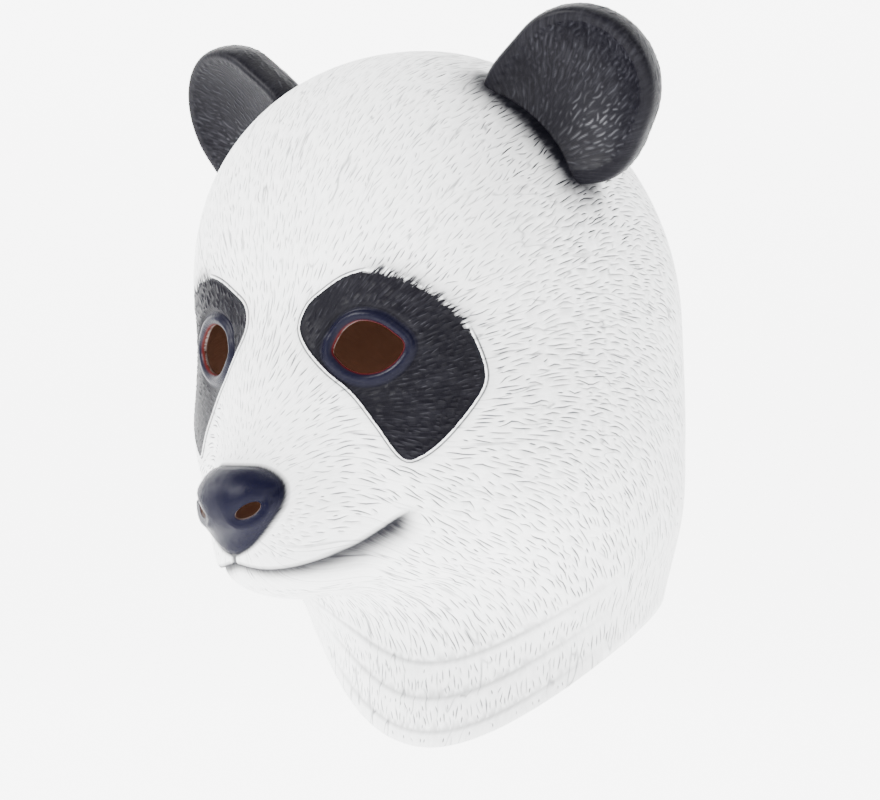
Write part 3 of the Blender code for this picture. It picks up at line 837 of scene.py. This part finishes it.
def buildMesh(name, points, faces, marks):
    mesh = bpy.data.meshes.new(name)
    mesh.from_pydata(points.tolist(), [], faces)
    for mark, values in marks.items():
        kind, field = ("FLOAT_VECTOR", "vector") if values.ndim == 2 else ("FLOAT", "value")
        layer = mesh.attributes.new(mark, kind, "POINT")
        layer.data.foreach_set(field, values.astype(np.float32).ravel())
    mesh.shade_smooth()
    mesh.update()
    piece = addObject(name, mesh)
    bpy.context.view_layer.objects.active = piece
    piece.select_set(True)
    bpy.ops.object.mode_set(mode="EDIT")
    bpy.ops.mesh.select_all(action="SELECT")
    bpy.ops.mesh.delete_loose()
    bpy.ops.mesh.select_all(action="SELECT")
    bpy.ops.mesh.normals_make_consistent(inside=False)
    bpy.ops.object.mode_set(mode="OBJECT")
    piece.select_set(False)
    return piece


innerWall = {"throws": 16000, "apart": 0.0062, "cell": 0.0016, "overMouth": (0.0024, 0.0, 9.0)}


def makeInner(places, loops, low, high):  # the plain inner wall, from the same openings as the outer one
    sheet = newSheet()
    rings = [lay(sheet, places[loop], closed=True) for loop in loops]
    seeds = throwOnSkin(innerWall["throws"])
    gaps = featureGaps(seeds)
    seeds = seeds[(gaps["hem"] > 4) & (gaps["hole"] > 3) & (gaps["nostril"] > 2)]
    room = emptyRoom(low, high, innerWall["cell"])
    lay(sheet, seeds[scatter(room, seeds, np.full(len(seeds), innerWall["apart"]))])
    gather(sheet)
    faces = weave(sheet, rings)
    bare = sheet["state"]
    thick = headSizes["wall"] + swell(featureGaps(bare)["mouth"], innerWall["overMouth"])
    return bare - outwardOf(bare) * thick[:, None], faces, rings


def makeSkin():
    low, high = np.array(cadBox[0]) - 0.01, np.array(cadBox[1]) + 0.01
    room, clear = emptyRoom(low, high), emptyRoom(low, high)
    sheet = newSheet()
    loops = layFeatures(sheet, clear)
    combFur(sheet, room, clear)
    layFill(sheet, clear)
    gather(sheet)
    faces = weave(sheet, loops)
    places = sheet["state"]
    outward = outwardOf(places)
    gaps = featureGaps(places)
    outer = places + outward * ((faceRelief(gaps) - sheet["cut"]) / 1000)[:, None]
    paint, dark, gloss, reflectedRed = facePaint(gaps)
    followed = np.clip((furHeading(places)[1] * combDirection(places, outward)).sum(-1), 0, 1) ** 8
    inner, innerFaces, rings = makeInner(places, loops, low, high)

    first = len(outer)
    faces = faces.tolist() + (innerFaces[:, ::-1] + first).tolist()
    for loop, ring in zip(loops, rings):
        corners = (loop, ring + first, np.roll(ring, -1) + first, np.roll(loop, -1))
        faces += np.column_stack(corners).tolist()
    marks = {
        "paint": paint, "line": sheet["line"], "shade": np.maximum(dark, sheet["dark"]), "gloss": gloss,
        "reflectedCutEdge": reflectedRed, "smooth": 1 - followed, "inside": np.zeros(first),
    }
    for name, values in marks.items():
        marks[name] = np.concatenate((values, np.full(len(inner), float(name == "inside"))))
    points = np.concatenate((outer, inner))
    marks["comb"] = combPlace(points)
    return buildMesh("maskSkin", points, faces, marks)


# The ears: a net of turns round the middle and stops over the cup, combed and mirrored
earLook = {
    "turns": 460, "stops": 190, "strokes": 14000, "spacing": 0.0014, "shortest": 0.003, "longest": 0.009,
    "behind": 0.7, "ridge": 0.36, "halfWide": 0.38, "rimFrom": 0.0318, "bead": (0.45, 0.0318, 0.0010),
    "sunk": 0.001, "fanRoot": 0.05,
}


def earSurface(turns, count):  # an ear's skin: over the cup, the rolled rim and the back
    profile = smoothLoop(earShape["profile"], count, closed=False)
    middle, axes = earAxes(1)
    out = profile[:, 0] * earReach(turns)[:, None]
    across, up = out * np.cos(turns)[:, None], out * np.sin(turns)[:, None]
    return np.stack((across, up, 0 * out - profile[:, 1]), axis=-1) @ axes.T + middle, profile


def fanOut(points):  # away from the ear's root
    middle, axes = earAxes(1)
    return unit(points - (middle - axes[:, 1] * earLook["fanRoot"]))


def walkEar(net, alongTurn, alongStop, starts, lengths, steps=10):
    # strokes over the ear's net of points, walked in turns and stops away from the root
    turnCount, stopCount = net.shape[:2]
    place = starts.copy()
    phase, wave = dice.uniform(0, math.tau, len(starts)), dice.uniform(0.008, 0.016, len(starts))
    bend = dice.normal(0, 0.35, len(starts))
    path = []
    for step in range(steps + 1):
        turn, stop = place[:, 0] % turnCount, np.clip(place[:, 1], 1, stopCount - 2.001)
        lowTurn, lowStop = turn.astype(int), stop.astype(int)
        here = between(net, lowTurn, lowStop, (turn - lowTurn)[:, None], (stop - lowStop)[:, None])
        path.append(here)
        first, second = alongTurn[lowTurn, lowStop], alongStop[lowTurn, lowStop]
        out = unit(np.cross(first, second))
        along = alongSkin(fanOut(here), out)
        angle = bend * np.sin(phase + math.tau * step * lengths / steps / wave)
        move = along * np.cos(angle)[:, None] + np.cross(out, along) * np.sin(angle)[:, None]
        move *= (lengths / steps)[:, None]
        # the move is shared out between turns and stops
        a, b, c = (first**2).sum(-1), (first * second).sum(-1), (second**2).sum(-1)
        p, q = (move * first).sum(-1), (move * second).sum(-1)
        scale = np.maximum(a * c - b * b, 1e-18)
        place = place + np.column_stack(((p * c - q * b) / scale, (a * q - b * p) / scale))
    return np.stack(path, axis=1)


def combEar(net, profile, alongTurn, alongStop):  # how high the strokes stand over the net, up to one
    area = np.linalg.norm(np.cross(alongTurn, alongStop), axis=-1)
    front = np.arange(len(profile)) < int(np.argmax(profile[:, 0] > 0.0322))
    weight = area * np.where(front, 1.0, earLook["behind"])
    cells = dice.choice(weight.size, earLook["strokes"], p=(weight / weight.sum()).ravel())
    starts = np.column_stack(np.divmod(cells, len(profile))).astype(float) + dice.random((len(cells), 2))
    lengths = dice.uniform(earLook["shortest"], earLook["longest"], len(cells))
    paths = walkEar(net, alongTurn, alongStop, starts, lengths)
    flat = net.reshape(-1, 3)
    room = emptyRoom(flat.min(axis=0), flat.max(axis=0))
    place, reach = earPlace(paths)
    rolled = (reach > earLook["rimFrom"]) & (place[..., 2] > -0.007)
    allowed = ~rolled & (headDistance(paths) > 0)
    picked = pickStrokes(room, paths, allowed, np.full(len(paths), earLook["spacing"]))
    samples, washes = [], []
    for number, count in picked:
        fine, stops = np.linspace(0, count - 1, 3 * count), np.arange(count)
        samples.append(np.stack([np.interp(fine, stops, axis) for axis in paths[number, :count].T], axis=-1))
        washes.append(dice.uniform(0.2, 1.0) * np.sin(np.linspace(0.15, math.pi - 0.15, len(fine))) ** 0.6)
    samples, washes = np.concatenate(samples), np.concatenate(washes)
    tree = KDTree(len(samples))
    for number, sample in enumerate(samples.tolist()):
        tree.insert(sample, number)
    tree.balance()
    nearest, gap = np.array([tree.find(point)[1:] for point in flat.tolist()]).T
    print("  ear strokes", len(picked))
    return washes[nearest.astype(int)] * np.exp(-(gap * 1000 / earLook["halfWide"]) ** 2)


def makeEars():
    turns = np.arange(earLook["turns"]) / earLook["turns"] * math.tau
    net, profile = earSurface(turns, earLook["stops"])
    alongTurn = (np.roll(net, -1, axis=0) - np.roll(net, 1, axis=0)) / 2
    alongStop = np.gradient(net, axis=1)
    ridge = combEar(net, profile, alongTurn, alongStop)
    middle, axes = earAxes(1)
    flat = net.reshape(-1, 3)
    outward = unit(np.cross(alongTurn, alongStop).reshape(-1, 3))
    outward *= np.sign((outward * (flat - middle + axes[:, 2] * 0.012)).sum(-1).mean())
    bead = swell(profile[:, 0], earLook["bead"]) * (profile[:, 1] < 0.004)
    lumps = 0.65 + 0.35 * np.sin(turns * 41 + 2.0 * np.sin(turns * 7))
    rise = earLook["ridge"] * ridge + (lumps[:, None] * bead).ravel()
    points = flat + outward * (rise / 1000)[:, None]
    sunk = headDistance(points) < -earLook["sunk"]
    points[sunk] = ontoHead(points[sunk], 4)
    points[sunk] -= outwardOf(points[sunk]) * earLook["sunk"]

    grid = np.arange(len(flat)).reshape(net.shape[:2])[:, 1:-1]
    after = np.roll(grid, -1, axis=0)
    corners = (grid[:, :-1], after[:, :-1], after[:, 1:], grid[:, 1:])
    faces = np.stack(corners, axis=-1).reshape(-1, 4).tolist()
    for rim, cap in ((grid[::-1, 0], len(flat)), (grid[:, -1], len(flat) + 1)):
        faces += [[first, second, cap] for first, second in zip(rim.tolist(), np.roll(rim, -1).tolist())]
    points = np.vstack((points, net[:, 0].mean(axis=0), net[:, -1].mean(axis=0)))
    place = (points - middle) @ axes
    fan = np.arctan2(place[:, 0], place[:, 1] + 0.05) * 0.08
    # a painted highlight over the lower right of the cup, where light falls on it, carried in the shade mark
    paintedHighlight = swell(place[:, 0], (1.0, 0.016, 0.014)) * swell(place[:, 1], (1.0, -0.012, 0.012))
    marks = {
        "line": np.append(ridge, (0, 0)), "shade": paintedHighlight * (place[:, 2] > -0.013),
        "comb": np.column_stack((fan, place[:, 1] / 6, place[:, 2] / 2)),
    }
    return [buildMesh(name, points * (side, 1, 1), [face[::side] for face in faces], marks)
            for name, side in (("earLeft", 1), ("earRight", -1))]


# Paint: white latex with grey wash in the strokes, blue-black patches, and bare latex inside darkened to a
# deep brown as painted shade
finishes = {
    "white": (0.86, 0.865, 0.865), "wash": (0.085, 0.087, 0.095), "airbrushAndShade": (0.006, 0.006, 0.009),
    # the last grey here is a painted highlight on the ear cups
    "black": (0.0025, 0.0023, 0.0040), "glint": (0.045, 0.045, 0.053), "highlightGrey": (0.085, 0.085, 0.092),
    # the edge colour is the raw cut edge tinted red, a painted reflection of skin
    "nose": (0.003, 0.003, 0.010), "edge": (0.06, 0.006, 0.005), "bare": (0.085, 0.038, 0.022),
}
patterns = {  # how fine each pattern of the paint is, its detail and its roughness
    "brush": (620.0, 3.0, 0.6), "patchy": (38.0, 2.0, 0.5), "hair": (190.0, 1.0, 0.5),
    "broken": (420.0, 1.0, 0.5), "grain": (1500.0, 2.0, 0.6), "combed": (900.0, 3.0, 0.55),
}


def startMaterial(name):
    material = bpy.data.materials.new(name)
    material.use_nodes = True
    return material, material.node_tree, material.node_tree.nodes["Principled BSDF"]


def addNode(tree, kind, inputs, output=0, **settings):
    node = tree.nodes.new("ShaderNode" + kind)
    for name, value in settings.items():
        setattr(node, name, value)
    for key, value in inputs.items():
        if isinstance(value, bpy.types.NodeSocket):
            tree.links.new(value, node.inputs[key])
        else:
            node.inputs[key].default_value = value
    return node.outputs[output]


def mark(tree, name):
    return addNode(tree, "Attribute", {}, output="Vector" if name == "comb" else "Fac", attribute_name=name)


def sums(tree, operation, first, second=0.0, third=0.0, clamp=False):
    return addNode(tree, "Math", {0: first, 1: second, 2: third}, operation=operation, use_clamp=clamp)


def tint(tree, share, first, second):
    colours = [value if isinstance(value, bpy.types.NodeSocket) else (*value, 1) for value in (first, second)]
    return addNode(tree, "Mix", {0: share, 6: colours[0], 7: colours[1]}, output=2, data_type="RGBA")


def deepen(tree, share, power):  # reaches its full strength sooner, as the eye sees darkness
    rest = sums(tree, "SUBTRACT", 1.0, share, clamp=True)
    return sums(tree, "SUBTRACT", 1.0, sums(tree, "POWER", rest, power))


def noise(tree, where, name):
    scale, detail, rough = patterns[name]
    return addNode(tree, "TexNoise", {"Vector": where, "Scale": scale, "Detail": detail, "Roughness": rough})


def ramp(tree, value, low, high, first=0.0, last=1.0):
    return addNode(tree, "MapRange", {0: value, 1: low, 2: high, 3: first, 4: last})


def times(tree, first, second):
    return sums(tree, "MULTIPLY", first, second)


def bump(tree, strength, distance, height, under=None):
    inputs = {"Strength": strength, "Distance": distance, "Height": height}
    if under:
        inputs["Normal"] = under
    return addNode(tree, "Bump", inputs)


def paintMaterial(name, bareSkin):
    material, tree, shader = startMaterial(name)
    solid = addNode(tree, "TexCoord", {}, output="Object")
    along, line = mark(tree, "comb"), mark(tree, "line")
    brush = ramp(tree, noise(tree, along, "brush"), 0.42, 0.66)
    patchy = ramp(tree, noise(tree, solid, "patchy"), 0.35, 0.70)

    # fine broken lines between the strokes, where these run with the pattern
    ridged = sums(tree, "ABSOLUTE", sums(tree, "SUBTRACT", noise(tree, along, "hair"), 0.5))
    broken = ramp(tree, noise(tree, along, "broken"), 0.44, 0.56)
    hair = times(tree, ramp(tree, ridged, 0.0, 0.028, 1.0, 0.0), broken)
    hair = times(tree, hair, sums(tree, "SUBTRACT", 1.0, mark(tree, "smooth"), clamp=True))

    wash = sums(tree, "ADD", deepen(tree, line, 2.6), times(tree, brush, 0.10), clamp=True)
    wash = sums(tree, "MAXIMUM", wash, times(tree, hair, 0.72))
    wash = sums(tree, "ADD", wash, times(tree, patchy, 0.03), clamp=True)
    white = tint(tree, wash, finishes["white"], finishes["wash"])
    lit = sums(tree, "MULTIPLY_ADD", line, 0.75 if bareSkin else 0.50, times(tree, brush, 0.16), clamp=True)
    lit = times(tree, lit, sums(tree, "ADD", patchy, 0.35, clamp=True))
    colour = tint(tree, lit, finishes["black"], finishes["glint"])
    if bareSkin:
        ragged = sums(tree, "MULTIPLY_ADD", sums(tree, "SUBTRACT", brush, 0.4), 0.16, 1.0)
        # the shade mark darkens the white, with airbrushed paint and with painted shade in grooves, creases
        # and folds
        shade = sums(tree, "MULTIPLY", mark(tree, "shade"), ragged, clamp=True)
        white = tint(tree, deepen(tree, shade, 2.8), white, finishes["airbrushAndShade"])
        paint, gloss = mark(tree, "paint"), mark(tree, "gloss")
        edge = times(tree, paint, sums(tree, "SUBTRACT", 1.0, paint))
        edge = times(tree, edge, sums(tree, "MULTIPLY_ADD", brush, 4.4, -2.0))
        colour = tint(tree, ramp(tree, sums(tree, "ADD", paint, edge), 0.2, 0.8), white, colour)
        # the nose's own navy; the cut edge tinted red as a painted reflection of skin; the inside a deep
        # brown, bare latex darkened as painted shade
        for share, finish in (("gloss", "nose"), ("reflectedCutEdge", "edge"), ("inside", "bare")):
            colour = tint(tree, mark(tree, share), colour, finishes[finish])
        rough = sums(tree, "MULTIPLY_ADD", gloss, -0.17, sums(tree, "MULTIPLY_ADD", paint, -0.10, 0.54))
        tree.links.new(sums(tree, "MULTIPLY_ADD", gloss, 0.01, 0.06), shader.inputs["Specular IOR Level"])
    else:
        # on the ears the shade mark carries a painted highlight: lighter grey crests over part of the cup
        paintedHighlight = sums(tree, "MULTIPLY_ADD", line, 1.2, 0.06)
        paintedHighlight = sums(tree, "MULTIPLY", mark(tree, "shade"), paintedHighlight, clamp=True)
        colour = tint(tree, paintedHighlight, colour, finishes["highlightGrey"])
        rough = sums(tree, "MULTIPLY_ADD", brush, 0.10, 0.42)
        shader.inputs["Specular IOR Level"].default_value = 0.07
    tree.links.new(colour, shader.inputs["Base Color"])
    tree.links.new(rough, shader.inputs["Roughness"])
    normal = bump(tree, 0.22, 0.0003, noise(tree, solid, "grain"))
    normal = bump(tree, 0.40, 0.0005, noise(tree, along, "combed"), normal)
    normal = bump(tree, -0.60, 0.0006, hair, normal)
    tree.links.new(normal, shader.inputs["Normal"])
    return material


maskSkin = makeSkin()
maskSkin.data.materials.append(paintMaterial("paintedLatex", True))
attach(maskSkin, "root")
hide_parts("head_skin")
print("skin built,", len(maskSkin.data.polygons), "faces")

blackLatex = paintMaterial("blackLatex", False)
for ear, node in zip(makeEars(), ("ear_left", "ear_right")):
    ear.data.materials.append(blackLatex)
    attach(ear, "root")
    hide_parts(node)
print("ears built,", len(ear.data.polygons), "faces each")

# The studio: pale floor running up into a backdrop, soft light from the front left and above
studio = {
    "floor": -0.52, "front": -3.2, "turnUp": 1.6, "radius": 0.9, "height": 4.2, "halfWide": 5.0, "turn": 40.0,
    "room": 0.45, "aim": (0, 0, -0.15), "finish": {
        "Base Color": (0.88, 0.88, 0.88, 1), "Roughness": 0.9, "Emission Color": (1, 1, 1, 1),
        "Emission Strength": 4.2},
}
lamps = {  # place, size, power and colour of each soft light
    "keyLight": ((-0.75, -1.75, 1.10), 0.9, 145.0, (1.0, 1.0, 1.0)),
    "sideLight": ((1.75, -0.75, 0.50), 1.5, 34.0, (1.0, 1.0, 1.0)),
    "topLight": ((0.20, 0.10, 1.60), 1.2, 16.0, (1.0, 1.0, 1.0)),
    "backLight": ((0.90, 1.50, 0.60), 1.2, 14.0, (0.95, 0.98, 1.0)),
}
photoCamera = {"place": (0.8371, -0.9946, -0.1704), "turn": 40.0, "lens": 106.36, "sensor": 36}


def makeStudio():
    front, floor, turnUp, radius = (studio[name] for name in ("front", "floor", "turnUp", "radius"))
    line = [(front, floor)]
    for turn in np.radians(range(0, 91, 6)).tolist():
        line.append((turnUp + radius * math.sin(turn), floor + radius * (1 - math.cos(turn))))
    line.append((turnUp + radius, studio["height"]))
    spin = Matrix.Rotation(math.radians(studio["turn"]), 3, "Z")
    sides = (-studio["halfWide"], studio["halfWide"])
    points = [spin @ Vector((across, back, up)) for across in sides for back, up in line]
    count = len(line)
    faces = [(step, count + step, count + step + 1, step + 1) for step in range(count - 1)]
    mesh = bpy.data.meshes.new("backdrop")
    mesh.from_pydata(points, [], faces)
    mesh.shade_smooth()
    backdrop = addObject("backdrop", mesh)
    material, tree, shader = startMaterial("backdropPaper")
    for socket, value in studio["finish"].items():
        shader.inputs[socket].default_value = value
    backdrop.data.materials.append(material)


def makeLights():
    for name, (place, size, power, colour) in lamps.items():
        data = bpy.data.lights.new(name, "AREA")
        data.shape, data.size, data.energy, data.color = "DISK", size, power, colour
        lamp = addObject(name, data)
        lamp.location = place
        lamp.rotation_euler = (Vector(studio["aim"]) - Vector(place)).to_track_quat("-Z", "Y").to_euler()
    world = bpy.data.worlds.new("softRoom")
    world.use_nodes = True
    world.node_tree.nodes["Background"].inputs["Color"].default_value = (1, 1, 1, 1)
    world.node_tree.nodes["Background"].inputs["Strength"].default_value = studio["room"]
    bpy.context.scene.world = world


def makeCamera():  # where the photo was taken from
    data = bpy.data.cameras.new("photoCamera")
    data.sensor_width = photoCamera["sensor"]
    data.lens = photoCamera["lens"]
    camera = addObject("photoCamera", data)
    camera.location = photoCamera["place"]
    camera.rotation_euler = (math.radians(90), 0, math.radians(photoCamera["turn"]))
    bpy.context.scene.camera = camera


makeStudio()
makeLights()
makeCamera()
print("studio ready")
